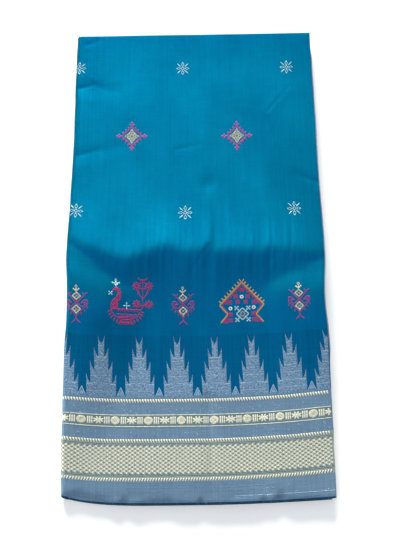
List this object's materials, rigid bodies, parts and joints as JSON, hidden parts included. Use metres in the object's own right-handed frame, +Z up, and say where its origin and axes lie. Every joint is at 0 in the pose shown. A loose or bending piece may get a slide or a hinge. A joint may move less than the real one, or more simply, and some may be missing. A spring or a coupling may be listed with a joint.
{
  "type": "folded saree",
  "caption": "Silk saree folded flat into a long packet, with a soft ridge across its middle, a round folded left side and its woven temple border along the bottom edge.",
  "frame": {"origin": "centre of the underside, on the surface that the packet rests on", "axes": "+X to the right edge, +Y to the closed top fold, +Z up through the stack of layers"},
  "size_m": [0.3117, 0.606, 0.033],
  "materials": {
    "silk_field": "soft sheen, fine slubbed plain weave",
    "silk_border": "soft sheen, woven with pale metallic thread",
    "silk_fold": "soft sheen, fine slubbed plain weave",
    "silk_top_fold": "soft sheen, fine slubbed plain weave",
    "silk_under": "soft sheen, fine slubbed plain weave",
    "silk_layers": "soft sheen, fine slubbed plain weave",
    "silk_back": "soft sheen, fine slubbed plain weave"
  },
  "bodies": {
    "root": {"front_field": "silk_field", "front_border": "silk_border", "left_fold": "silk_fold", "top_fold": "silk_top_fold", "under_layer": "silk_under", "hidden_layers": "silk_layers", "back_panel": "silk_back"}
  },
  "joints": []
}
